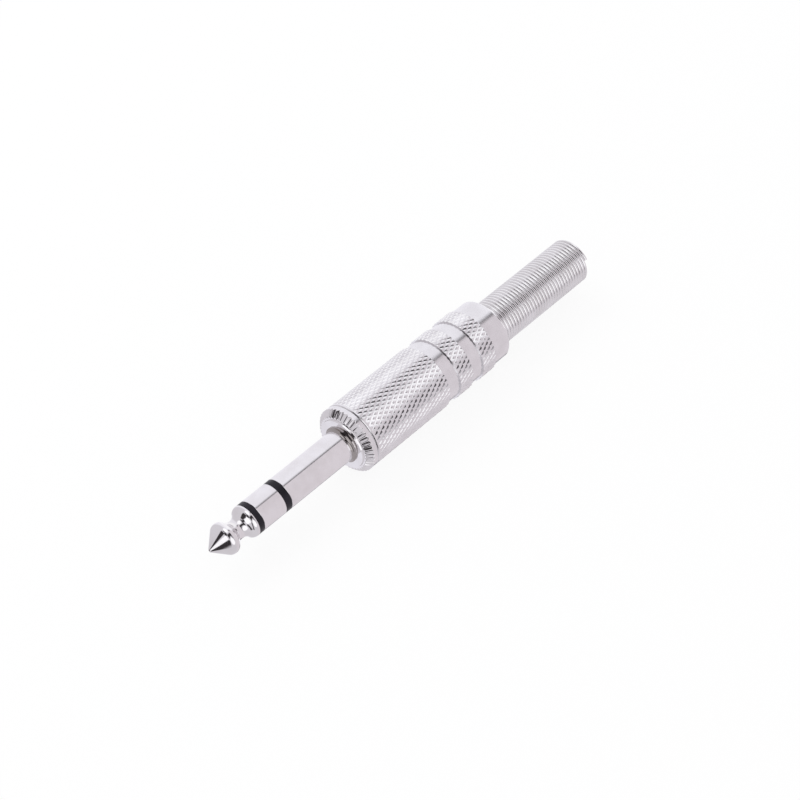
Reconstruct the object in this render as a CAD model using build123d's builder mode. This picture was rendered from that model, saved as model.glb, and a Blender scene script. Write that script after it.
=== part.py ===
from build123d import *
from math import asin, atan2, cos, pi, radians, sin, tan
import os

# Plug profile, in millimetres: the plug's axis is X, the tip points to -X, and X = 0 is
# the middle of the shank's rear contact, the sleeve
PLUG_DIAMETER = 6.35
TIP_LENGTH = 9.05
NOSE_RADIUS = 0.5
SHOULDER_INSET = 0.035
SHOULDER_AT = 3.75
SHOULDER_CURVE = 1.3
NECK_DEPTH = 1.325
NECK_AT = 6.35
BELL_AT = 8.9
INSULATOR_RECESS = 0.03
TIP_INSULATOR_WIDTH = 1.2
RING_LENGTH = 5.3
RING_INSULATOR_WIDTH = 1.4
SLEEVE_LENGTH = 14.9

# Concentric core, from the sleeve's wall in
SLEEVE_WALL = 0.755
SLEEVE_TUBE_WALL = 0.4
RING_TUBE_WALL = 0.45
CORE_TUBE_WALL = 0.35
FIT_GAP = 0.03

# Head of the sleeve body
ROOT_STEP = 0.505
ROOT_LENGTH = 0.6
FACE_DEPTH = 0.5
FACE_RING_WIDTH = 0.5
CORNER_RADIUS = 0.95
CORNER_FACET_COUNT = 2
RIM_WIDTH = 1.2
FLUTE_COUNT = 44
FLUTE_DEPTH = 0.63
FLUTE_ANGLE = 64

# Threaded neck, and the boss that the ground clamp is staked on
NECK_LENGTH = 5.0
THREAD_RELIEF_DEPTH = 0.4
THREAD_RELIEF_WIDTH = 0.8
THREAD_CLEARANCE = 0.06
BOSS_WALL = 1.18

# Stack of tags and washers behind the neck
CLAMP_THICKNESS = 0.7
REAR_INSULATOR_WIDTH = 1.0
LUG_THICKNESS = 0.5
STACK_CLEARANCE = 0.1
LUG_INSULATOR_WIDTH = 1.0
LUG_INSULATOR_OVERLAP = 0.3
TIP_LUG_WALL = 1.2
LIP_WIDTH = 0.25
LIP_HEIGHT = 0.3
PEEN_LENGTH = 0.6
PEEN_STEP = 0.6
TAG_WIDTH = 2.4
TAG_HOLE_DIAMETER = 1.1
RING_TAG_LENGTH = 9.0
TIP_TAG_LENGTH = 6.5

# Ground clamp: a trough behind its plate, with two ears round the cable
CLAMP_INSET = 0.6
TROUGH_LENGTH = 20.0
TROUGH_HALF_ANGLE = 34
EAR_LENGTH = 4.5
EAR_HALF_ANGLE = 112
SOLDER_WINDOW_LENGTH = 4.0
SOLDER_WINDOW_WIDTH = 1.6

# Shell: its outside from the front edge back
PARTING_GAP = 0.1
SHELL_WALL = 0.8
BAND_STEP = 0.35
LIP_LENGTH = 0.45
KNURL_LENGTHS = (18.65, 3.45, 3.5)
BAND_LENGTHS = (2.7, 2.6, 3.95)
KNURL_TAPER = 0.2
STEP_LEAN = 0.08
EDGE_CHAMFER = 0.15
REAR_EDGE_CHAMFER = 0.25

# Shell: its inside
SHELL_THREAD_LENGTH = 5.6
REAR_WALL = 1.7
SPRING_HOLE_CLEARANCE = 0.16
FLANGE_DEPTH = 0.7

# Cable relief spring
WIRE_DIAMETER = 0.73
WIRE_FLAT_COUNT = 5
COIL_PITCH = 0.75
COIL_COUNT = 36
COIL_CHORD_COUNT = 16
WIRE_END_ANGLE = 56
FLARE_COIL_COUNT = 2
FLARE_GAP = 0.1
FLARE_CLEARANCE = 0.24

# Liner
LINER_CLEARANCE = 0.1
LINER_WALL = 0.45
LINER_PLAY = 0.35
LINER_END_GAP = 0.2

# Stations along the axis
sleeve_front = -SLEEVE_LENGTH / 2
ring_insulator_front = sleeve_front - RING_INSULATOR_WIDTH
ring_front = ring_insulator_front - RING_LENGTH
tip_insulator_front = ring_front - TIP_INSULATOR_WIDTH
nose = tip_insulator_front - TIP_LENGTH
shank_rear = SLEEVE_LENGTH / 2
face_front = shank_rear + ROOT_LENGTH
corner_front = face_front + FACE_DEPTH
rim_front = corner_front + CORNER_RADIUS
head_rear = rim_front + RIM_WIDTH
neck_rear = head_rear + NECK_LENGTH
clamp_rear = neck_rear + CLAMP_THICKNESS
ring_lug_front = clamp_rear + REAR_INSULATOR_WIDTH
ring_lug_rear = ring_lug_front + LUG_THICKNESS
lug_insulator_front = ring_lug_rear + LIP_WIDTH
tip_lug_front = lug_insulator_front + LUG_INSULATOR_WIDTH
tip_lug_rear = tip_lug_front + LUG_THICKNESS
shell_front = head_rear + PARTING_GAP
shell_rear = shell_front + LIP_LENGTH + sum(KNURL_LENGTHS) + sum(BAND_LENGTHS) + 3 * KNURL_TAPER
rear_wall_front = shell_rear - REAR_WALL
flare_front = rear_wall_front - FLARE_GAP - FLARE_COIL_COUNT * COIL_PITCH

# Radii of the plug, and of its core from the sleeve's bore in to the rod
plug_radius = PLUG_DIAMETER / 2
insulator_radius = plug_radius - INSULATOR_RECESS
shoulder_radius = plug_radius - SHOULDER_INSET
neck_radius = plug_radius - NECK_DEPTH
sleeve_bore = plug_radius - SLEEVE_WALL
sleeve_tube_radius = sleeve_bore - FIT_GAP
sleeve_tube_bore = sleeve_tube_radius - SLEEVE_TUBE_WALL
ring_tube_radius = sleeve_tube_bore - FIT_GAP
ring_bore = ring_tube_radius - RING_TUBE_WALL
core_tube_radius = ring_bore - FIT_GAP
core_tube_bore = core_tube_radius - CORE_TUBE_WALL
rod_radius = core_tube_bore - FIT_GAP

# Radii from the boss out to the knurl
boss_radius = sleeve_bore + BOSS_WALL
tip_lug_radius = rod_radius + TIP_LUG_WALL
lug_insulator_radius = tip_lug_radius + LUG_INSULATOR_OVERLAP
rear_insulator_radius = boss_radius + STACK_CLEARANCE
ring_lug_radius = rear_insulator_radius - STACK_CLEARANCE
trough_inner = rear_insulator_radius + STACK_CLEARANCE
trough_outer = trough_inner + CLAMP_THICKNESS
thread_radius = trough_outer + CLAMP_INSET
liner_bore = trough_outer + LINER_CLEARANCE
liner_radius = liner_bore + LINER_WALL
cavity_radius = liner_radius + LINER_PLAY
spring_hole_radius = cavity_radius - FLANGE_DEPTH
spring_radius = spring_hole_radius - SPRING_HOLE_CLEARANCE
coil_radius = spring_radius - WIRE_DIAMETER / 2
flare_rise = cavity_radius - FLARE_CLEARANCE - spring_radius
band_radius = cavity_radius + SHELL_WALL
head_radius = band_radius + BAND_STEP
face_radius = head_radius - CORNER_RADIUS


def turn(*outline):
    """Revolve a closed outline of (x, radius) points about the plug's axis."""
    with BuildSketch(Plane.XY) as section:
        with BuildLine():
            Polyline(*outline, close=True)
        make_face()
    revolve(section.sketch, axis=Axis.X)


def washer(front, rear, bore, radius):
    """Turn a plain ring between two stations."""
    turn((front, bore), (rear, bore), (rear, radius), (front, radius))


def on_circle(centre, towards, radius):
    """Return the point at a distance from a circle's centre towards another point."""
    return centre + (towards - centre).normalized() * radius


# Tip contact: blunt cone, rounded shoulder, concave neck and bell, all tangent, and the core rod
with BuildPart() as tip_contact:
    shoulder_centre = Vector(nose + SHOULDER_AT, shoulder_radius - SHOULDER_CURVE)
    # The neck's circle touches the shoulder's and the bell's, which fixes both radii
    shoulder_drop = shoulder_radius - neck_radius
    neck_run = NECK_AT - SHOULDER_AT
    neck_curve = (neck_run**2 + shoulder_drop**2) / (2 * shoulder_drop) - SHOULDER_CURVE
    bell_run = BELL_AT - NECK_AT
    bell_curve = (bell_run**2 + NECK_DEPTH**2) / (2 * NECK_DEPTH) - neck_curve
    neck_centre = Vector(nose + NECK_AT, neck_radius + neck_curve)
    bell_centre = Vector(nose + BELL_AT, plug_radius - bell_curve)
    nose_centre = Vector(nose + NOSE_RADIUS, 0)
    centre_line = shoulder_centre - nose_centre
    cone_spread = asin((SHOULDER_CURVE - NOSE_RADIUS) / centre_line.length)
    cone_angle = atan2(centre_line.Y, centre_line.X) + cone_spread
    cone_normal = Vector(-sin(cone_angle), cos(cone_angle))
    peen_radius = rod_radius + PEEN_STEP
    with BuildSketch(Plane.XY):
        with BuildLine():
            cone_front = nose_centre + cone_normal * NOSE_RADIUS
            cone_rear = shoulder_centre + cone_normal * SHOULDER_CURVE
            shoulder_rear = on_circle(shoulder_centre, neck_centre, SHOULDER_CURVE)
            neck_rear_point = on_circle(neck_centre, bell_centre, neck_curve)
            TangentArc((nose, 0), cone_front, tangent=(0, 1))
            cone = Line(cone_front, cone_rear)
            shoulder = TangentArc(cone_rear, shoulder_rear, tangent=cone % 1)
            neck = TangentArc(shoulder_rear, neck_rear_point, tangent=shoulder % 1)
            bell = TangentArc(neck_rear_point, (nose + BELL_AT, plug_radius), tangent=neck % 1)
            Polyline(
                bell @ 1,
                (tip_insulator_front, plug_radius),
                (tip_insulator_front, rod_radius),
                (tip_lug_rear, rod_radius),
                (tip_lug_rear, peen_radius),
                (tip_lug_rear + 0.5 * PEEN_LENGTH, 0.85 * peen_radius),
                (tip_lug_rear + PEEN_LENGTH, 0.45 * peen_radius),
                (tip_lug_rear + PEEN_LENGTH, 0),
                (nose, 0),
            )
        make_face()
    revolve(axis=Axis.X)
tip_contact.part.label = "tip_contact"

# Front black ring
with BuildPart() as tip_insulator:
    washer(tip_insulator_front, ring_front, core_tube_radius + FIT_GAP, insulator_radius)
tip_insulator.part.label = "tip_insulator"

# Insulating tube round the core rod
with BuildPart() as core_tube:
    washer(tip_insulator_front, lug_insulator_front, core_tube_bore, core_tube_radius)
core_tube.part.label = "core_tube"

# Ring contact with its tube, whose rear end is flared over the ring lug
with BuildPart() as ring_contact:
    turn(
        (ring_front, ring_bore),
        (lug_insulator_front, ring_bore),
        (lug_insulator_front, ring_tube_radius + LIP_HEIGHT),
        (ring_lug_rear, ring_tube_radius + LIP_HEIGHT),
        (ring_lug_rear, ring_tube_radius),
        (ring_insulator_front, ring_tube_radius),
        (ring_insulator_front, plug_radius),
        (ring_front, plug_radius),
    )
ring_contact.part.label = "ring_contact"

# Rear black ring
with BuildPart() as ring_insulator:
    washer(ring_insulator_front, sleeve_front, sleeve_tube_radius + FIT_GAP, insulator_radius)
ring_insulator.part.label = "ring_insulator"

# Insulating tube round the ring's tube
with BuildPart() as sleeve_tube:
    washer(ring_insulator_front, clamp_rear, sleeve_tube_bore, sleeve_tube_radius)
sleeve_tube.part.label = "sleeve_tube"

# Sleeve body: shank, root cone, shallow front face, rounded head, neck and boss
with BuildPart() as sleeve_body:
    corner_step = radians(90 / CORNER_FACET_COUNT)
    corner_angles = [corner_step * step for step in range(CORNER_FACET_COUNT + 1)]
    corner = [
        (rim_front - CORNER_RADIUS * cos(angle), face_radius + CORNER_RADIUS * sin(angle))
        for angle in corner_angles
    ]
    turn(
        (sleeve_front, sleeve_bore),
        (sleeve_front, plug_radius),
        (shank_rear, plug_radius),
        (face_front, plug_radius + ROOT_STEP),
        (corner_front, face_radius - FACE_RING_WIDTH),
        *corner,
        (head_rear, head_radius),
        (head_rear, thread_radius - THREAD_RELIEF_DEPTH),
        (head_rear + THREAD_RELIEF_WIDTH, thread_radius - THREAD_RELIEF_DEPTH),
        (head_rear + THREAD_RELIEF_WIDTH, thread_radius),
        (neck_rear, thread_radius),
        (neck_rear, boss_radius),
        (clamp_rear, boss_radius),
        (clamp_rear, sleeve_bore),
    )
    # V flutes cut across the rounded corner, each running from the face's flat ring to the rim
    corner_middle = CORNER_RADIUS * sin(radians(45))
    flute_origin = (rim_front - corner_middle, 0, face_radius + corner_middle)
    half_width = 2 * FLUTE_DEPTH * tan(radians(FLUTE_ANGLE / 2))
    with BuildSketch(Plane(origin=flute_origin, x_dir=(0, 1, 0), z_dir=(1, 0, 1))) as flute:
        with BuildLine():
            Polyline(
                (0, -FLUTE_DEPTH),
                (half_width, FLUTE_DEPTH),
                (-half_width, FLUTE_DEPTH),
                close=True,
            )
        make_face()
    cutter = extrude(flute.sketch, amount=2 * CORNER_RADIUS, both=True, mode=Mode.PRIVATE)
    turns = [360 * index / FLUTE_COUNT for index in range(FLUTE_COUNT)]
    add([cutter.rotate(Axis.X, angle) for angle in turns], mode=Mode.SUBTRACT)
sleeve_body.part.label = "sleeve_body"


def trough(front, rear, half_angle):
    """Extrude a curved strip, centred on the plug's underside, between two stations."""
    left = (-sin(radians(half_angle)), -cos(radians(half_angle)))
    right = (sin(radians(half_angle)), -cos(radians(half_angle)))
    with BuildSketch(Plane.YZ.offset(front)) as section:
        with BuildLine():
            outer = ThreePointArc(
                (left[0] * trough_outer, left[1] * trough_outer),
                (0, -trough_outer),
                (right[0] * trough_outer, right[1] * trough_outer),
            )
            inner = ThreePointArc(
                (left[0] * trough_inner, left[1] * trough_inner),
                (0, -trough_inner),
                (right[0] * trough_inner, right[1] * trough_inner),
            )
            Line(outer @ 0, inner @ 0)
            Line(outer @ 1, inner @ 1)
        make_face()
    extrude(section.sketch, amount=rear - front)


# Ground clamp: plate staked on the boss, trough with a solder window, and two ears
with BuildPart() as ground_clamp:
    washer(neck_rear, clamp_rear, boss_radius + FIT_GAP, trough_outer)
    trough_rear = clamp_rear + TROUGH_LENGTH
    ears_front = trough_rear - EAR_LENGTH
    trough(clamp_rear, ears_front, TROUGH_HALF_ANGLE)
    trough(ears_front, trough_rear, EAR_HALF_ANGLE)
    window_middle = clamp_rear + TROUGH_LENGTH / 2
    with BuildSketch(Plane.XY) as window:
        with Locations((window_middle, 0)):
            SlotOverall(SOLDER_WINDOW_LENGTH, SOLDER_WINDOW_WIDTH)
    extrude(window.sketch, amount=-2 * trough_outer, mode=Mode.SUBTRACT)
ground_clamp.part.label = "ground_clamp"


def lug(front, disc_radius, bore, tag_side, tag_length):
    """Build a stamped tag: a pierced disc, and a strip bent rearwards at its edge."""
    rear = front + LUG_THICKNESS
    washer(front, rear, bore, disc_radius)
    strip_low = disc_radius - LUG_THICKNESS
    with BuildSketch(Plane.XZ) as strip:
        with BuildLine():
            Polyline(
                (front, strip_low - LUG_THICKNESS),
                (front, disc_radius),
                (front + tag_length, disc_radius),
                (front + tag_length, strip_low),
                (rear, strip_low),
                (rear, strip_low - LUG_THICKNESS),
                close=True,
            )
        make_face()
        fillet(strip.vertices().group_by(Axis.X)[0].sort_by(Axis.Y)[-1], LUG_THICKNESS)
    blank = extrude(strip.sketch, amount=TAG_WIDTH / 2, both=True, mode=Mode.PRIVATE)
    add(blank.rotate(Axis.X, tag_side))
    # The solder hole goes through the strip, square to it
    outward = (0, -sin(radians(tag_side)), cos(radians(tag_side)))
    hole_origin = (front + tag_length - TAG_WIDTH / 2, 0, 0)
    with BuildSketch(Plane(origin=hole_origin, x_dir=(1, 0, 0), z_dir=outward)) as hole:
        Circle(TAG_HOLE_DIAMETER / 2)
    extrude(hole.sketch, amount=2 * disc_radius, mode=Mode.SUBTRACT)


# Washer between the ground clamp and the ring lug
with BuildPart() as rear_insulator:
    washer(clamp_rear, ring_lug_front, ring_tube_radius + FIT_GAP, rear_insulator_radius)
rear_insulator.part.label = "rear_insulator"

# Solder tag of the ring
with BuildPart() as ring_lug:
    lug(ring_lug_front, ring_lug_radius, ring_tube_radius + FIT_GAP, 90, RING_TAG_LENGTH)
ring_lug.part.label = "ring_lug"

# Washer between the two solder tags
with BuildPart() as lug_insulator:
    washer(lug_insulator_front, tip_lug_front, rod_radius + FIT_GAP, lug_insulator_radius)
lug_insulator.part.label = "lug_insulator"

# Solder tag of the tip
with BuildPart() as tip_lug:
    lug(tip_lug_front, tip_lug_radius, rod_radius + FIT_GAP, -90, TIP_TAG_LENGTH)
tip_lug.part.label = "tip_lug"

# Shell: stepped barrel, threaded mouth, cavity and pierced rear wall
with BuildPart() as shell:
    outside = [
        (shell_front, head_radius - EDGE_CHAMFER),
        (shell_front + EDGE_CHAMFER, head_radius),
    ]
    station = shell_front + LIP_LENGTH
    for knurl_length, band_length in zip(KNURL_LENGTHS, BAND_LENGTHS):
        outside.append((station + knurl_length, head_radius))
        outside.append((station + knurl_length + KNURL_TAPER, band_radius))
        station += knurl_length + KNURL_TAPER + band_length
        outside.append((station, band_radius))
        outside.append((station + STEP_LEAN, head_radius))
    outside = outside[:-1]
    turn(
        *outside,
        (shell_rear, spring_hole_radius),
        (rear_wall_front, spring_hole_radius),
        (rear_wall_front, cavity_radius),
        (shell_front + SHELL_THREAD_LENGTH, cavity_radius),
        (shell_front + SHELL_THREAD_LENGTH, thread_radius + THREAD_CLEARANCE),
        (shell_front, thread_radius + THREAD_CLEARANCE),
    )
    rear_edge = shell.edges().filter_by(GeomType.CIRCLE).group_by(Axis.X)[-1].sort_by(SortBy.RADIUS)[-1]
    chamfer(rear_edge, REAR_EDGE_CHAMFER)
shell.part.label = "shell"

# Liner: plain insulating tube between the neck and the spring's flared end
with BuildPart() as liner:
    liner_rear = flare_front - WIRE_DIAMETER / 2 - LINER_END_GAP
    washer(neck_rear + LINER_END_GAP, liner_rear, liner_bore, liner_radius)
liner.part.label = "liner"


def wire_point(turns):
    """Return the wire's centre a number of turns behind the flared end."""
    radius = coil_radius + flare_rise * max(0, 1 - turns / FLARE_COIL_COUNT)
    angle = 2 * pi * turns + radians(WIRE_END_ANGLE)
    return Vector(flare_front + COIL_PITCH * turns, -radius * sin(angle), radius * cos(angle))


# Spring: one wire, close-wound in short chords from the flared turns in the shell to its cut end
with BuildPart() as spring:
    chord_count = (FLARE_COIL_COUNT + COIL_COUNT) * COIL_CHORD_COUNT
    with BuildLine() as winding:
        Polyline(*[wire_point(index / COIL_CHORD_COUNT) for index in range(chord_count + 1)])
    with BuildSketch(Plane(origin=winding.line @ 0, z_dir=winding.line % 0)) as wire_section:
        RegularPolygon(WIRE_DIAMETER / 2, WIRE_FLAT_COUNT)
    sweep(wire_section.sketch, path=winding.wire(), transition=Transition.RIGHT)
spring.part.label = "spring"

pieces = (
    tip_contact,
    tip_insulator,
    core_tube,
    ring_contact,
    ring_insulator,
    sleeve_tube,
    sleeve_body,
    ground_clamp,
    rear_insulator,
    ring_lug,
    lug_insulator,
    tip_lug,
    shell,
    liner,
    spring,
)
os.makedirs("parts", exist_ok=True)
for piece in pieces:
    export_step(piece.part, f"parts/{piece.part.label}.step")
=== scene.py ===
import math

import bpy
from mathutils import Matrix, Vector


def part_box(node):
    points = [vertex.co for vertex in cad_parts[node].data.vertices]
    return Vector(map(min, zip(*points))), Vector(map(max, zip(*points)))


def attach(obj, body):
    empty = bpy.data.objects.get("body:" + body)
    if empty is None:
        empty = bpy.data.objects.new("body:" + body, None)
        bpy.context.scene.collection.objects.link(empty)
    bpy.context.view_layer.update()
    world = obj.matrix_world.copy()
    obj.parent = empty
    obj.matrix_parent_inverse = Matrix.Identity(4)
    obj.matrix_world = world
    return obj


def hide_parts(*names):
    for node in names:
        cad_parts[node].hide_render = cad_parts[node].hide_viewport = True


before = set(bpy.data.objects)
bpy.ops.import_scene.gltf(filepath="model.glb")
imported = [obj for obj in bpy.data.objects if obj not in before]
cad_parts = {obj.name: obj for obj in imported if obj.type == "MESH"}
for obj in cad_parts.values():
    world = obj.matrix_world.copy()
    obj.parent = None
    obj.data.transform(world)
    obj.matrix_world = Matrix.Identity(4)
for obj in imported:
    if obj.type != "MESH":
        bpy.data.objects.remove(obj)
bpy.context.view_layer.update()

# Lengths are in millimetres unless a comment says otherwise; the scene itself is in metres
MM = 0.001

# Tip contact, with places counted back from its nose, and the peen's (x, radius) from its front
NOSE_CURVE = 0.5
NOSE_START = math.radians(4)
SHOULDER_RADIUS = 3.14
SHOULDER_AT = 3.75
SHOULDER_CURVE = 1.3
NECK_RADIUS = 1.85
NECK_AT = 6.35
BELL_AT = 8.9
PLUG_RADIUS = 3.175
ROD_RADIUS = 1.1
PEEN_LENGTH = 0.6
PEEN_OUTLINE = ((0, 1.7), (0.3, 1.44), (PEEN_LENGTH, 0.76), (PEEN_LENGTH, 0.02))

# Ring contact
RING_BORE = 1.51
RING_EDGE = 0.06
RING_TUBE_RADIUS = 1.96
RING_FLARE_RADIUS = 2.26
RING_FLARE_LENGTH = 0.25

# Sleeve body. The wall round its sunk face leans from foot to top, both counted in from the corner's flat,
# and the face's surface starts a margin before its plane. The flutes' crests lie below the plane that
# touches the corner at 45 degrees, their bottoms deeper still, and their section is part V and part wave.
SHANK_EDGE = 0.05
ROOT_RADIUS = 3.68
ROOT_LENGTH = 0.6
COLLAR_LENGTH = 0.2
FACE_DEPTH = 0.5
FACE_WALL_FOOT = 0.15
FACE_WALL_TOP = 0.05
FACE_MARGIN = 0.03
HEAD_RADIUS = 6.55
CORNER_RADIUS = 0.95
CORNER_FLAT = 0.5
RIM_WIDTH = 1.2
RIM_EDGE = 0.08
FLUTE_COUNT = 44
FLUTE_CREST = 0.25
FLUTE_DEPTH = 0.28
FLUTE_V_SHARE = 0.6
THREAD_RADIUS = 5.1
THREAD_PITCH = 0.75
THREAD_DEPTH = 0.35
THREAD_RELIEF = 0.8
NECK_LENGTH = 5.0
BOSS_RADIUS = 3.6
BOSS_FOOT = 0.3
BOSS_LENGTH = 0.7
SLEEVE_BORE = 2.42

# Barrel, from its front edge back. The knurl's land is a share of a groove's width; its flanks are hollow.
LIP_LENGTH = 0.45
LIP_EDGE = 0.15
KNURL_LENGTHS = (18.65, 3.45, 3.5)
BAND_LENGTHS = (2.7, 2.6, 3.95)
BAND_STEP = 0.35
KNURL_TAPER = 0.2
KNURL_COUNT = 40
KNURL_ANGLE = math.radians(31)
KNURL_PITCH = 2 * math.pi * HEAD_RADIUS / KNURL_COUNT / math.tan(KNURL_ANGLE)
KNURL_DEPTH = 0.155
KNURL_LAND = 0.10
KNURL_FLANK_BEND = 0.45
CAVITY_RADIUS = 5.4
MOUTH_RADIUS = 5.16
MOUTH_LENGTH = 5.6
MOUTH_THREAD_DEPTH = 0.1
REAR_WALL = 1.7
REAR_EDGE = 0.25
REAR_EDGE_ROUND = 0.3
SPRING_HOLE_RADIUS = 4.7
SPRING_HOLE_EDGE = 0.1

# Spring
COIL_RADIUS = 4.175
WIRE_RADIUS = 0.365
COIL_COUNT = 36
FLARE_TURNS = 2
FLARE_RISE = 0.62
WIRE_END_ANGLE = math.radians(56)

# Fineness of the meshes, and how near to a corner the points that support it lie
TURNED_COLUMNS = 192
NOSE_STEPS = 6
CURVE_STEPS = 20
BELL_STEPS = 10
ROOT_STEPS = 12
SUPPORT_INSET = 0.04
FLAT_STEPS = 8
CORNER_STEPS = 18
SAMPLES_PER_FLUTE = 16
NECK_THREAD_STEPS = 40
MOUTH_THREAD_STEPS = 48
SAMPLES_PER_PITCH = 8
SAMPLES_PER_COIL = 64
WIRE_SIDES = 18

# Surfaces: noise scales for tint, gloss and relief, relief strengths, and how the noise is drawn out
METAL_SCALES = (350, 600, 4000)
METAL_RELIEF = 0.5
PLASTIC_SCALES = (500, 1500, 6000)
PLASTIC_RELIEF = 0.4
PLASTIC_GRAIN = 0.01
NOISE_DETAIL = 3.0
NOISE_RANGE = (0.3, 0.7)
TINT_RANGE = (0.35, 0.65)
EVEN = (1, 1, 1)
TURNED = (6, 1, 1)

# Two tints of each surface, between which it is mottled
NICKEL_TINTS = (0.80, 0.78, 0.79), (0.86, 0.845, 0.86)
# The shaded tints are painted shade and painted dark reflection for the sleeve's root fillet and collar
SHADED_TINTS = (0.36, 0.33, 0.32), (0.44, 0.41, 0.40)
SATIN_TINTS = (0.78, 0.765, 0.78), (0.85, 0.84, 0.855)
WIRE_TINTS = (0.80, 0.785, 0.79), (0.88, 0.87, 0.88)
TIN_TINTS = (0.72, 0.70, 0.64), (0.80, 0.78, 0.73)
BLACK_TINTS = (0.008, 0.007, 0.011), (0.016, 0.014, 0.021)
NATURAL_TINTS = (0.66, 0.60, 0.48), (0.74, 0.69, 0.58)
MILKY_TINTS = (0.70, 0.74, 0.76), (0.78, 0.81, 0.83)

# Directions of the studio, and the colours that its walls, cards and windows have in the metal
REARWARD = (1, 0, 0)
AWAY = (0, 1, 0)
UP = (0, 0, 1)
SEAM_NORMAL = (0, 0.994, 0.105)
FRONT_WALL = (0.72, 0.70, 0.735)
NEAR_WALL = (0.77, 0.725, 0.76)
FAR_WALL = (0.96, 0.95, 1.0)
LIT_WALL = (1.08, 1.08, 1.1)
SEAM_BLACK = (0.05, 0.045, 0.05)
BROWN_CARD = (0.42, 0.38, 0.37)
PALE_CARD = (0.88, 0.87, 0.93)
GREY_CARD = (0.26, 0.25, 0.27)
GAP_BLACK = (0.04, 0.035, 0.038)
WINDOW_WHITE = (1.2, 1.2, 1.22)
PLAIN_LIGHT = (0.85, 0.845, 0.86)
BACKDROP_WHITE = (1, 1, 1)

# Round patches of the studio, in degrees: their turn and rise, and where they start and end to fade
BROWN_PATCH = (160, -12, 16, 26)
PALE_PATCH = (138, -47, 12, 20)
LEFT_PATCH = (162, 12, 31, 37)
RIGHT_PATCH = (218, -8, 21, 27)
CORNER_PATCH = (190, 45, 9, 13)
FRONT_WINDOW = (193, 17, 15, 18)
SIDE_WINDOW = (258, 14, 24, 27)
TOP_WINDOW = (110, 84, 17, 21)

# Floor in metres, and the share of its look that is its own white
FLOOR_REACH = 2.0
FLOOR_GAP = 0.00001
FLOOR_COLOUR = (0.95, 0.95, 0.95, 1)
FLOOR_GLOW = 0.9

# Camera: its place in millimetres, its focal length in sensor widths, its near clip in metres
LENS_WIDTHS = 2.71
CAMERA_PLACE = (-172.45, -178.5, 286.6)
CAMERA_FORWARD = (0.50129, 0.45669, -0.73495)
CAMERA_RIGHT = (0.67344, -0.73925, 0.0)
NEAR_CLIP = 0.01

# Stations along X
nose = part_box("tip_contact")[0].x / MM
sleeve_front, sleeve_rear = (corner.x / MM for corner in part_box("sleeve_body"))
shell_front, shell_rear = (corner.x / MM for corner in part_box("shell"))
neck_rear = sleeve_rear - BOSS_LENGTH
head_rear = neck_rear - NECK_LENGTH
rim_front = head_rear - RIM_WIDTH
corner_front = rim_front - CORNER_RADIUS
face_front = corner_front - FACE_DEPTH
shank_rear = face_front - ROOT_LENGTH


def arc(centre, radius, start, end, steps):
    """Points of an arc in the (x, radius) plane, its angles counted from the forward direction."""
    angles = (start + (end - start) * step / steps for step in range(steps + 1))
    return [(centre[0] - radius * math.cos(a), centre[1] + radius * math.sin(a)) for a in angles]


def mesh_object(name, points, faces, body, slot_name, *replaced, crease=35):
    """Make a piece from points in millimetres, shade it smooth up to an angle and set it on its body."""
    mesh = bpy.data.meshes.new(name)
    mesh.from_pydata([(x * MM, y * MM, z * MM) for x, y, z in points], [], faces)
    mesh.shade_smooth()
    mesh.set_sharp_from_angle(angle=math.radians(crease))
    piece = bpy.data.objects.new(name, mesh)
    bpy.context.collection.objects.link(piece)
    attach(piece, body)
    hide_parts(*replaced)
    return piece


def lathe(rings, columns):
    """Close a band of rings round the X axis; a ring gives (x, radius) for each turning angle."""
    points = []
    for ring in rings:
        for column in range(columns):
            angle = 2 * math.pi * column / columns
            x, radius = ring(angle)
            points.append((x, -radius * math.sin(angle), radius * math.cos(angle)))
    faces = []
    for row in range(len(rings)):
        near = row * columns
        far = (row + 1) % len(rings) * columns
        for column in range(columns):
            side = (column + 1) % columns
            faces.append((near + column, near + side, far + side, far + column))
    return points, faces


def plain(x, radius):
    """A round ring at one station."""
    return lambda angle: (x, radius)


def triangle_wave(turns):
    """Distance from the nearest whole number, from 0 to 0.5."""
    return abs(turns - round(turns))


def tip_profile():
    """The tip's outline from the nose back: blunt cone, shoulder, neck and bell, each tangent to the next."""
    shoulder = Vector((nose + SHOULDER_AT, SHOULDER_RADIUS - SHOULDER_CURVE))
    drop = SHOULDER_RADIUS - NECK_RADIUS
    neck_curve = ((NECK_AT - SHOULDER_AT) ** 2 + drop**2) / (2 * drop) - SHOULDER_CURVE
    rise = PLUG_RADIUS - NECK_RADIUS
    bell_curve = ((BELL_AT - NECK_AT) ** 2 + rise**2) / (2 * rise) - neck_curve
    neck = Vector((nose + NECK_AT, NECK_RADIUS + neck_curve))
    bell = Vector((nose + BELL_AT, PLUG_RADIUS - bell_curve))
    blunt = Vector((nose + NOSE_CURVE, 0))
    cone_run = shoulder - blunt
    curve_change = math.asin((SHOULDER_CURVE - NOSE_CURVE) / cone_run.length)
    cone_normal = math.pi / 2 - math.atan2(cone_run.y, cone_run.x) - curve_change
    # Angles where the shoulder meets the neck, and the neck the bell
    fall = math.atan2(NECK_AT - SHOULDER_AT, neck.y - shoulder.y)
    climb = math.atan2(BELL_AT - NECK_AT, neck.y - bell.y)
    return (
        arc(blunt, NOSE_CURVE, NOSE_START, cone_normal, NOSE_STEPS)
        + arc(shoulder, SHOULDER_CURVE, cone_normal, math.pi / 2 + fall, CURVE_STEPS)
        + arc(neck, neck_curve, fall - math.pi / 2, -math.pi / 2 - climb, CURVE_STEPS)[1:]
        + arc(bell, bell_curve, math.pi / 2 - climb, math.pi / 2, BELL_STEPS)[1:]
    )


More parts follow.
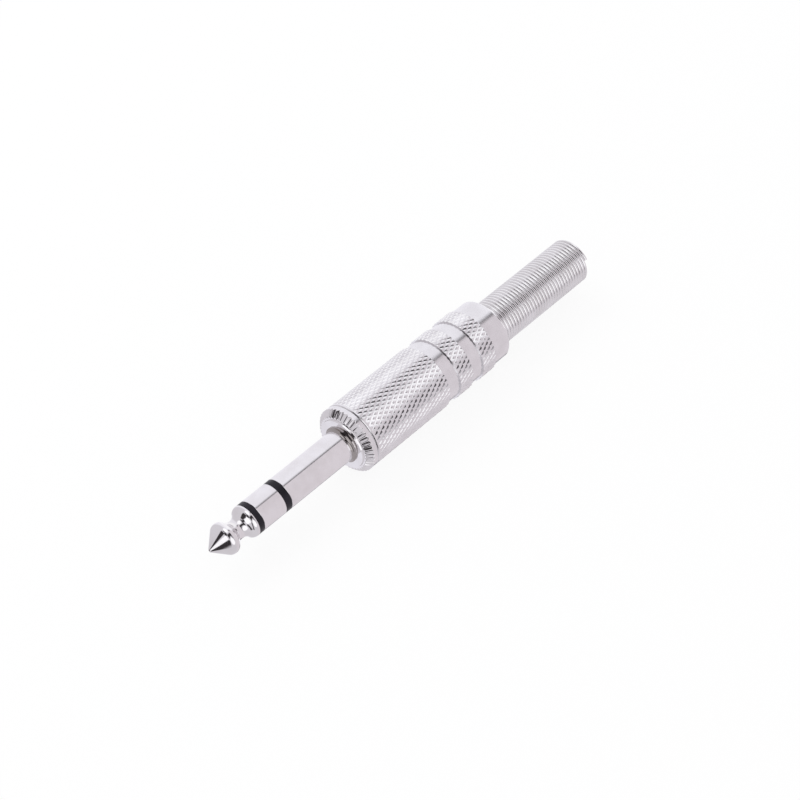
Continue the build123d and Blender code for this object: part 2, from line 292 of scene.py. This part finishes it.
def make_tip():
    """Tip contact with its core rod and peened rear end."""
    insulator_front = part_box("tip_insulator")[0].x / MM
    peen_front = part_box("tip_contact")[1].x / MM - PEEN_LENGTH
    outline = tip_profile()
    outline += [(insulator_front, PLUG_RADIUS), (insulator_front, ROD_RADIUS), (peen_front, ROD_RADIUS)]
    outline += [(peen_front + x, radius) for x, radius in PEEN_OUTLINE]
    points, faces = lathe([plain(*point) for point in outline], TURNED_COLUMNS)
    return mesh_object("tip", points, faces, "plug", "polished_nickel", "tip_contact")


def make_ring():
    """Ring contact, with broken edges, and its tube flared over the ring lug."""
    front, rear = (corner.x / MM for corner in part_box("ring_contact"))
    insulator_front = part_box("ring_insulator")[0].x / MM
    outline = [
        (front, RING_BORE),
        (front, PLUG_RADIUS - RING_EDGE),
        (front + RING_EDGE, PLUG_RADIUS),
        (insulator_front - RING_EDGE, PLUG_RADIUS),
        (insulator_front, PLUG_RADIUS - RING_EDGE),
        (insulator_front, RING_TUBE_RADIUS),
        (rear - RING_FLARE_LENGTH, RING_TUBE_RADIUS),
        (rear - RING_FLARE_LENGTH, RING_FLARE_RADIUS),
        (rear, RING_FLARE_RADIUS),
        (rear, RING_BORE),
    ]
    points, faces = lathe([plain(*point) for point in outline], TURNED_COLUMNS)
    return mesh_object("ring", points, faces, "plug", "polished_nickel", "ring_contact")


def supported(outline):
    """Add points near both ends of each long run, so that smooth shading bends only at its corners."""
    points = [outline[0]]
    for start, end in zip(outline, outline[1:]):
        run = Vector(end) - Vector(start)
        if run.length > 4 * SUPPORT_INSET:
            near = run.normalized() * SUPPORT_INSET
            points += [tuple(Vector(start) + near), tuple(Vector(end) - near)]
        points.append(end)
    return points


def fluted_corner(x_middle, r_middle):
    """Rings of the head's corner, flat, rounded and flat again, cut by straight flutes at 45 degrees."""
    shares = [step / FLAT_STEPS for step in range(1, FLAT_STEPS + 1)]
    face_flat = [(-CORNER_RADIUS, -CORNER_FLAT * share) for share in reversed(shares)]
    rounded = arc((0, 0), CORNER_RADIUS, 0, math.pi / 2, CORNER_STEPS)
    rim_flat = [(CORNER_FLAT * share, CORNER_RADIUS) for share in shares]
    half = math.sqrt(0.5)

    def cut(x, radius):
        # How far the outline lies below the plane that touches the corner at 45 degrees
        below = CORNER_RADIUS - half * (radius - x)

        def ring_at(angle):
            straight = 1 - 2 * triangle_wave(angle * FLUTE_COUNT / (2 * math.pi))
            waved = 0.5 + 0.5 * math.cos(angle * FLUTE_COUNT)
            section = FLUTE_V_SHARE * straight + (1 - FLUTE_V_SHARE) * waved
            sink = max(0, FLUTE_CREST + FLUTE_DEPTH * section - below)
            return x_middle + x + half * sink, r_middle + radius - half * sink

        return ring_at

    return [cut(*point) for point in face_flat + rounded + rim_flat]


def threaded(x, radius, depth, front):
    """A ring of a right-hand V thread; a negative depth cuts into a hole's wall."""

    def ring(angle):
        turns = (x - front) / THREAD_PITCH - angle / (2 * math.pi)
        return x, radius - 2 * depth * triangle_wave(turns)

    return ring


def make_sleeve():
    """Sleeve body: shank, root fillet and collar, flat face, fluted head, threaded neck and staked boss."""
    corner_middle = HEAD_RADIUS - CORNER_RADIUS
    face_radius = corner_middle - CORNER_FLAT
    root_rise = ROOT_RADIUS - PLUG_RADIUS
    root_curve = (ROOT_LENGTH**2 + root_rise**2) / (2 * root_rise)
    root_end = -math.pi / 2 - math.asin(ROOT_LENGTH / root_curve)
    outline = [
        (sleeve_front, SLEEVE_BORE),
        (sleeve_front, PLUG_RADIUS - SHANK_EDGE),
        (sleeve_front + SHANK_EDGE, PLUG_RADIUS),
        *arc((shank_rear, PLUG_RADIUS + root_curve), root_curve, -math.pi / 2, root_end, ROOT_STEPS),
        (face_front + COLLAR_LENGTH, ROOT_RADIUS),
        (face_front + COLLAR_LENGTH, face_radius - FACE_WALL_FOOT),
        (corner_front, face_radius - FACE_WALL_TOP),
    ]
    rings = [plain(*point) for point in supported(outline)]
    rings += fluted_corner(rim_front, corner_middle)
    thread_front = head_rear + THREAD_RELIEF
    rings += [
        plain(head_rear - RIM_EDGE, HEAD_RADIUS),
        plain(head_rear, HEAD_RADIUS - RIM_EDGE),
        plain(head_rear, THREAD_RADIUS - THREAD_DEPTH),
        plain(thread_front, THREAD_RADIUS - THREAD_DEPTH),
    ]
    for step in range(NECK_THREAD_STEPS + 1):
        x = thread_front + (neck_rear - thread_front) * step / NECK_THREAD_STEPS
        rings.append(threaded(x, THREAD_RADIUS, THREAD_DEPTH, head_rear))
    rings += [
        plain(neck_rear, BOSS_RADIUS + BOSS_FOOT),
        plain(neck_rear, BOSS_RADIUS),
        plain(sleeve_rear, BOSS_RADIUS),
        plain(sleeve_rear, SLEEVE_BORE),
    ]
    points, faces = lathe(rings, FLUTE_COUNT * SAMPLES_PER_FLUTE)
    return mesh_object("sleeve", points, faces, "plug", "polished_nickel", "sleeve_body", crease=30)


def knurl_rows(start, length):
    """Stations of a knurled stretch, spaced so that the grooves run through the grid's corners."""
    step = KNURL_PITCH / SAMPLES_PER_PITCH
    return [start + step * index for index in range(int(length / step) + 1)] + [start + length]


def groove_turns(x, angle):
    """Where a point lies across the right-hand and the left-hand grooves, in groove pitches."""
    around = angle * KNURL_COUNT / (2 * math.pi)
    return around + x / KNURL_PITCH, around - x / KNURL_PITCH


def knurled(x, origin):
    """A ring of the knurl: flat-topped pyramids left between two families of V grooves."""
    flank = 0.5 - KNURL_LAND / 2

    def ring(angle):
        nearest = min(triangle_wave(turns) for turns in groove_turns(x - origin, angle))
        across = min(1, nearest / flank)
        return x, HEAD_RADIUS - KNURL_DEPTH * (1 - across) * (1 - KNURL_FLANK_BEND * across)

    return ring


def split_along_grooves(points, faces, strips, columns):
    """Split the knurl's squares along the groove that they lie in, which keeps its edges crisp."""
    for row_front, row_rear, origin in strips:
        for row in range(row_front, row_rear):
            for column in range(columns):
                place = row * columns + column
                a, b, c, d = faces[place]
                x = (points[a][0] + points[c][0]) / 2
                right, left = groove_turns(x - origin, 2 * math.pi * (column + 0.5) / columns)
                if triangle_wave(right) < triangle_wave(left):
                    halves = (a, b, d), (b, c, d)
                else:
                    halves = (a, b, c), (a, c, d)
                faces[place] = halves[0]
                faces.append(halves[1])


def make_shell():
    """Barrel: knurled and plain stretches outside, threaded mouth, cavity and pierced wall inside."""
    columns = KNURL_COUNT * SAMPLES_PER_PITCH
    band_radius = HEAD_RADIUS - BAND_STEP
    start = shell_front + LIP_LENGTH
    rings = [
        plain(shell_front, HEAD_RADIUS - LIP_EDGE),
        plain(shell_front + LIP_EDGE, HEAD_RADIUS),
        plain(start, HEAD_RADIUS),
    ]
    knurl_strips = []
    for index, (knurl_length, band_length) in enumerate(zip(KNURL_LENGTHS, BAND_LENGTHS)):
        stations = knurl_rows(start, knurl_length)
        knurl_strips.append((len(rings), len(rings) + len(stations) - 1, start))
        rings += [knurled(x, start) for x in stations]
        band_front = start + knurl_length + KNURL_TAPER
        band_rear = band_front + band_length
        rings.append(plain(band_front, band_radius))
        if index < len(BAND_LENGTHS) - 1:
            rings.append(plain(band_rear, band_radius))
        start = band_rear
    rounding = REAR_EDGE_ROUND * REAR_EDGE
    rings += [
        plain(shell_rear - REAR_EDGE, band_radius),
        plain(shell_rear - rounding, band_radius - rounding),
        plain(shell_rear, band_radius - REAR_EDGE),
        plain(shell_rear, SPRING_HOLE_RADIUS + SPRING_HOLE_EDGE),
        plain(shell_rear - SPRING_HOLE_EDGE, SPRING_HOLE_RADIUS),
        plain(shell_rear - REAR_WALL, SPRING_HOLE_RADIUS),
        plain(shell_rear - REAR_WALL, CAVITY_RADIUS),
        plain(shell_front + MOUTH_LENGTH, CAVITY_RADIUS),
    ]
    for step in range(MOUTH_THREAD_STEPS + 1):
        x = shell_front + MOUTH_LENGTH * (1 - step / MOUTH_THREAD_STEPS)
        rings.append(threaded(x, MOUTH_RADIUS, -MOUTH_THREAD_DEPTH, shell_front))
    points, faces = lathe(rings, columns)
    split_along_grooves(points, faces, knurl_strips, columns)
    return mesh_object("barrel", points, faces, "barrel", "satin_nickel", "shell", crease=18)


def make_spring():
    """One round wire: flared turns inside the barrel, then close coils to the cut end."""
    front, rear = (corner.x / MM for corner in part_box("spring"))
    pitch = (rear - front - 2 * WIRE_RADIUS) / (FLARE_TURNS + COIL_COUNT)
    count = (FLARE_TURNS + COIL_COUNT) * SAMPLES_PER_COIL
    points = []
    for index in range(count + 1):
        turns = index / SAMPLES_PER_COIL
        radius = COIL_RADIUS + FLARE_RISE * max(0, 1 - turns / FLARE_TURNS)
        angle = 2 * math.pi * turns + WIRE_END_ANGLE
        outward = Vector((0, -math.sin(angle), math.cos(angle)))
        centre = Vector((front + WIRE_RADIUS + pitch * turns, 0, 0)) + radius * outward
        for side in range(WIRE_SIDES):
            lean = 2 * math.pi * side / WIRE_SIDES
            points.append(centre + WIRE_RADIUS * (math.cos(lean) * outward + Vector((math.sin(lean), 0, 0))))
    faces = []
    for index in range(count):
        near = index * WIRE_SIDES
        far = near + WIRE_SIDES
        for side in range(WIRE_SIDES):
            after = (side + 1) % WIRE_SIDES
            faces.append((near + side, far + side, far + after, near + after))
    faces.append(tuple(range(WIRE_SIDES)))
    faces.append(tuple(reversed(range(count * WIRE_SIDES, (count + 1) * WIRE_SIDES))))
    return mesh_object("coil", points, faces, "cable_relief", "spring_wire", "spring", crease=50)


def new_material(name, metallic, roughness, ior=1.5):
    """A node material with its shader's uniform values set, ready for colour, roughness and bump."""
    material = bpy.data.materials.new(name)
    material.use_nodes = True
    shader = material.node_tree.nodes["Principled BSDF"]
    shader.inputs["Metallic"].default_value = metallic
    shader.inputs["Roughness"].default_value = roughness
    shader.inputs["IOR"].default_value = ior
    return material, material.node_tree, shader


def noise(tree, scale, stretch):
    """Noise in the object's own space; stretch is larger where the pattern is finer."""
    place = tree.nodes.new("ShaderNodeTexCoord")
    mapping = tree.nodes.new("ShaderNodeMapping")
    mapping.inputs["Scale"].default_value = stretch
    texture = tree.nodes.new("ShaderNodeTexNoise")
    texture.inputs["Scale"].default_value = scale
    texture.inputs["Detail"].default_value = NOISE_DETAIL
    tree.links.new(place.outputs["Object"], mapping.inputs["Vector"])
    tree.links.new(mapping.outputs["Vector"], texture.inputs["Vector"])
    return texture.outputs["Fac"]


def tinted(tree, value, tints):
    """Two tints spread over the middle of a noise value's range."""
    node = tree.nodes.new("ShaderNodeValToRGB")
    for element, position, tint in zip(node.color_ramp.elements, TINT_RANGE, tints):
        element.position = position
        element.color = (*tint, 1)
    tree.links.new(value, node.inputs["Fac"])
    return node.outputs["Color"]


def spread(tree, value, low, high):
    """Map a noise value onto a range of numbers."""
    node = tree.nodes.new("ShaderNodeMapRange")
    node.inputs["From Min"].default_value = NOISE_RANGE[0]
    node.inputs["From Max"].default_value = NOISE_RANGE[1]
    node.inputs["To Min"].default_value = low
    node.inputs["To Max"].default_value = high
    tree.links.new(value, node.inputs["Value"])
    return node.outputs["Result"]


def dress(tree, shader, tints, roughness, scales, stretch, depth, strength):
    """Link mottled colour, uneven gloss and a relief of a real depth to the shader."""
    tint_scale, gloss_scale, relief_scale = scales
    colour = tinted(tree, noise(tree, tint_scale, EVEN), tints)
    gloss = spread(tree, noise(tree, gloss_scale, stretch), *roughness)
    bump = tree.nodes.new("ShaderNodeBump")
    bump.inputs["Distance"].default_value = depth * MM
    bump.inputs["Strength"].default_value = strength
    tree.links.new(noise(tree, relief_scale, stretch), bump.inputs["Height"])
    tree.links.new(colour, shader.inputs["Base Color"])
    tree.links.new(gloss, shader.inputs["Roughness"])
    tree.links.new(bump.outputs["Normal"], shader.inputs["Normal"])


def metal(name, tints, roughness, stretch, depth):
    """Plated or bare metal: faint mottling, uneven gloss and fine tool lines."""
    material, tree, shader = new_material(name, metallic=1.0, roughness=roughness[0])
    dress(tree, shader, tints, roughness, METAL_SCALES, stretch, depth, METAL_RELIEF)
    return material


def plastic(name, tints, roughness, ior=1.5):
    """Moulded plastic with a fine grain."""
    material, tree, shader = new_material(name, metallic=0.0, roughness=roughness[0], ior=ior)
    dress(tree, shader, tints, roughness, PLASTIC_SCALES, EVEN, PLASTIC_GRAIN, PLASTIC_RELIEF)
    return material


def paint_sleeve(sleeve, shank, root, face, rim):
    """Give the sleeve one surface for each stretch: shank, root with painted shade and painted dark
    reflection, face with its flutes, and rim with neck.
    """
    for material in (shank, root, face, rim):
        sleeve.data.materials.append(material)
    face_start = face_front + COLLAR_LENGTH - FACE_MARGIN
    rim_start = rim_front + CORNER_FLAT
    for polygon in sleeve.data.polygons:
        station = polygon.center.x / MM
        polygon.material_index = sum(station > edge for edge in (shank_rear, face_start, rim_start))


def compass(turn, rise):
    """A direction from its turn round Z, counted from +X towards +Y, and its rise, in degrees."""
    turn, rise = math.radians(turn), math.radians(rise)
    return math.cos(rise) * math.cos(turn), math.cos(rise) * math.sin(turn), math.sin(rise)


def studio_world():
    """White tent painted on the sky by direction: walls and their seam, cards, dark gaps and windows."""
    world = bpy.data.worlds.new("studio")
    bpy.context.scene.world = world
    world.use_nodes = True
    tree = world.node_tree
    background = tree.nodes["Background"]
    place = tree.nodes.new("ShaderNodeTexCoord")

    def toward(direction, low, high):
        """From 0 to 1 as a ray's share along a direction goes from low to high."""
        dot = tree.nodes.new("ShaderNodeVectorMath")
        dot.operation = "DOT_PRODUCT"
        dot.inputs[1].default_value = direction
        tree.links.new(place.outputs["Generated"], dot.inputs[0])
        node = tree.nodes.new("ShaderNodeMapRange")
        node.interpolation_type = "SMOOTHSTEP"
        node.inputs["From Min"].default_value = low
        node.inputs["From Max"].default_value = high
        tree.links.new(dot.outputs["Value"], node.inputs["Value"])
        return node.outputs["Result"]

    def join(operation, first, *others):
        """Masks joined one after the other by one operation."""
        for other in others:
            node = tree.nodes.new("ShaderNodeMath")
            node.operation = operation
            tree.links.new(first, node.inputs[0])
            tree.links.new(other, node.inputs[1])
            first = node.outputs[0]
        return first

    def band(direction, low, high, soft):
        """Rays between two shares along a direction, with soft edges."""
        above = toward(direction, low - soft, low + soft)
        beyond = toward(direction, high - soft, high + soft)
        return join("SUBTRACT", above, beyond)

    def cap(turn, rise, inner, outer):
        """A round patch that fades from its inner to its outer angle."""
        return toward(compass(turn, rise), math.cos(math.radians(outer)), math.cos(math.radians(inner)))

    def mix(factor, first, second):
        """Two colours mixed; the mix node has them at inputs 6 and 7, and the result at output 2."""
        node = tree.nodes.new("ShaderNodeMix")
        node.data_type = "RGBA"
        tree.links.new(factor, node.inputs[0])
        for index, value in ((6, first), (7, second)):
            if isinstance(value, tuple):
                node.inputs[index].default_value = (*value, 1)
            else:
                tree.links.new(value, node.inputs[index])
        return node.outputs[2]

    # Walls: one in front, and behind it a near and a far one, which is lit where the spring mirrors it
    rear_walls = mix(toward(SEAM_NORMAL, -0.02, 0.02), NEAR_WALL, FAR_WALL)
    lit = join("MULTIPLY", band(AWAY, 0.12, 0.80, 0.04), toward(REARWARD, 0.56, 0.60))
    rear_walls = mix(lit, rear_walls, LIT_WALL)
    studio = mix(toward(REARWARD, 0.10, 0.40), FRONT_WALL, rear_walls)

    # Seam between the rear walls: dark, fading out over the far wall, and wider towards the spring
    fading = join("SUBTRACT", toward(SEAM_NORMAL, -0.07, -0.03), toward(SEAM_NORMAL, -0.08, 0.20))
    seam = join("MULTIPLY", fading, band(REARWARD, 0.37, 0.62, 0.03))
    wide_seam = join("MULTIPLY", band(SEAM_NORMAL, -0.12, 0.07, 0.02), band(REARWARD, 0.56, 0.67, 0.02))
    studio = mix(join("MAXIMUM", seam, wide_seam), studio, SEAM_BLACK)

    # Cards: brown and pale ones low in front, and a grey one over the near side that the knurl mirrors
    studio = mix(cap(*BROWN_PATCH), studio, BROWN_CARD)
    studio = mix(cap(*PALE_PATCH), studio, PALE_CARD)
    near_side = band(AWAY, -1.1, -0.36, 0.08)
    grey_zone = join("MULTIPLY", near_side, band(REARWARD, 0.05, 0.33, 0.03), toward(UP, 0.02, 0.2))
    studio = mix(grey_zone, studio, GREY_CARD)

    # Gaps: the edges of the front window, a strip overhead, one before the head's face, and a corner
    left_edge = join("MULTIPLY", band(compass(252, 0), -0.20, 0.20, 0.03), cap(*LEFT_PATCH))
    right_edge = join("MULTIPLY", band(compass(308, 0), -0.12, 0.12, 0.03), cap(*RIGHT_PATCH))
    above_near = join("MULTIPLY", band(AWAY, -0.66, -0.36, 0.05), toward(UP, 0.2, 0.4))
    overhead = join("MULTIPLY", above_near, band(REARWARD, -0.60, 0.33, 0.03))
    above_all = join("MULTIPLY", band(AWAY, -0.86, 0.26, 0.04), toward(UP, 0.02, 0.12))
    before_face = join("MULTIPLY", above_all, band(REARWARD, -0.57, -0.43, 0.02))
    gaps = join("MAXIMUM", left_edge, right_edge, overhead, before_face, cap(*CORNER_PATCH))
    studio = mix(gaps, studio, GAP_BLACK)

    # Windows: in front, on the near side and overhead
    side_window = join("MULTIPLY", cap(*SIDE_WINDOW), band(REARWARD, -0.58, 0.30, 0.04))
    windows = join("MAXIMUM", cap(*FRONT_WINDOW), side_window, cap(*TOP_WINDOW))
    studio = mix(windows, studio, WINDOW_WHITE)

    # Matt surfaces get plain light, and the camera sees a white backdrop
    rays = tree.nodes.new("ShaderNodeLightPath")
    plain_light = mix(rays.outputs["Is Diffuse Ray"], studio, PLAIN_LIGHT)
    shown = mix(rays.outputs["Is Camera Ray"], plain_light, BACKDROP_WHITE)
    tree.links.new(shown, background.inputs["Color"])


def make_floor():
    """Plain white floor that keeps the object's soft shadow; mirror rays pass it to the tent below."""
    height = -HEAD_RADIUS * MM - FLOOR_GAP
    mesh = bpy.data.meshes.new("floor")
    corners = [(x * FLOOR_REACH, y * FLOOR_REACH, height) for x, y in ((-1, -1), (1, -1), (1, 1), (-1, 1))]
    mesh.from_pydata(corners, [], [(0, 1, 2, 3)])
    floor = bpy.data.objects.new("floor", mesh)
    bpy.context.collection.objects.link(floor)
    material, tree, shader = new_material("floor_white", metallic=0.0, roughness=0.7)
    shader.inputs["Base Color"].default_value = FLOOR_COLOUR
    rays = tree.nodes.new("ShaderNodeLightPath")
    weight = tree.nodes.new("ShaderNodeMath")
    weight.operation = "MULTIPLY"
    weight.inputs[1].default_value = FLOOR_GLOW
    tree.links.new(rays.outputs["Is Camera Ray"], weight.inputs[0])
    glow = tree.nodes.new("ShaderNodeEmission")
    glowing = tree.nodes.new("ShaderNodeMixShader")
    tree.links.new(weight.outputs[0], glowing.inputs["Fac"])
    tree.links.new(shader.outputs["BSDF"], glowing.inputs[1])
    tree.links.new(glow.outputs["Emission"], glowing.inputs[2])
    clear = tree.nodes.new("ShaderNodeBsdfTransparent")
    passing = tree.nodes.new("ShaderNodeMixShader")
    tree.links.new(rays.outputs["Is Glossy Ray"], passing.inputs["Fac"])
    tree.links.new(glowing.outputs["Shader"], passing.inputs[1])
    tree.links.new(clear.outputs["BSDF"], passing.inputs[2])
    tree.links.new(passing.outputs["Shader"], tree.nodes["Material Output"].inputs["Surface"])
    mesh.materials.append(material)


def make_lamp(name, place, aim, size, power):
    """A soft square lamp aimed at a point, unseen in mirrors; lengths in metres."""
    light = bpy.data.lights.new(name, "AREA")
    light.size = size
    light.energy = power
    lamp = bpy.data.objects.new(name, light)
    lamp.location = place
    lamp.rotation_euler = (Vector(aim) - Vector(place)).to_track_quat("-Z", "Y").to_euler()
    lamp.visible_glossy = False
    bpy.context.collection.objects.link(lamp)


def make_camera():
    """Camera at the photograph's viewing angle."""
    data = bpy.data.cameras.new("camera")
    data.lens = LENS_WIDTHS * data.sensor_width
    data.clip_start = NEAR_CLIP
    camera = bpy.data.objects.new("camera", data)
    right, forward = Vector(CAMERA_RIGHT), Vector(CAMERA_FORWARD)
    turn = Matrix((right, right.cross(forward), -forward)).transposed()
    camera.matrix_world = Matrix.Translation(Vector(CAMERA_PLACE) * MM) @ turn.to_4x4()
    bpy.context.collection.objects.link(camera)
    bpy.context.scene.camera = camera


polished_nickel = metal("polished_nickel", NICKEL_TINTS, roughness=(0.05, 0.09), stretch=TURNED, depth=0.001)
# Darker nickel on the root fillet and collar: painted shade and painted dark reflection, not a different
# plating
root_painted_shade = metal("root_painted_shade", SHADED_TINTS, roughness=(0.05, 0.10), stretch=TURNED, depth=0.001)
shank_nickel = metal("shank_nickel", NICKEL_TINTS, roughness=(0.09, 0.15), stretch=TURNED, depth=0.002)
satin_nickel = metal("satin_nickel", SATIN_TINTS, roughness=(0.15, 0.21), stretch=EVEN, depth=0.001)
spring_nickel = metal("spring_nickel", WIRE_TINTS, roughness=(0.10, 0.16), stretch=EVEN, depth=0.0005)
tinned_brass = metal("tinned_brass", TIN_TINTS, roughness=(0.22, 0.38), stretch=EVEN, depth=0.006)
black_plastic = plastic("black_plastic", BLACK_TINTS, roughness=(0.28, 0.42), ior=1.3)
natural_plastic = plastic("natural_plastic", NATURAL_TINTS, roughness=(0.35, 0.50))
milky_plastic = plastic("milky_plastic", MILKY_TINTS, roughness=(0.25, 0.38))

make_tip().data.materials.append(polished_nickel)
make_ring().data.materials.append(shank_nickel)
paint_sleeve(make_sleeve(), shank_nickel, root_painted_shade, polished_nickel, satin_nickel)
make_shell().data.materials.append(satin_nickel)
make_spring().data.materials.append(spring_nickel)

# Solids shown as they are, with the surface that each one gets
node_materials = {
    "tip_insulator": black_plastic,
    "ring_insulator": black_plastic,
    "core_tube": natural_plastic,
    "sleeve_tube": natural_plastic,
    "rear_insulator": natural_plastic,
    "lug_insulator": natural_plastic,
    "ground_clamp": tinned_brass,
    "ring_lug": tinned_brass,
    "tip_lug": tinned_brass,
    "liner": milky_plastic,
}
for node, material in node_materials.items():
    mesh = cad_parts[node].data
    mesh.materials.clear()
    mesh.materials.append(material)

studio_world()
make_floor()
make_lamp("softbox", place=(-0.1, 0.7, 0.8), aim=(0.02, 0, 0), size=0.6, power=3.0)
make_camera()
bpy.context.scene.view_settings.view_transform = "Standard"
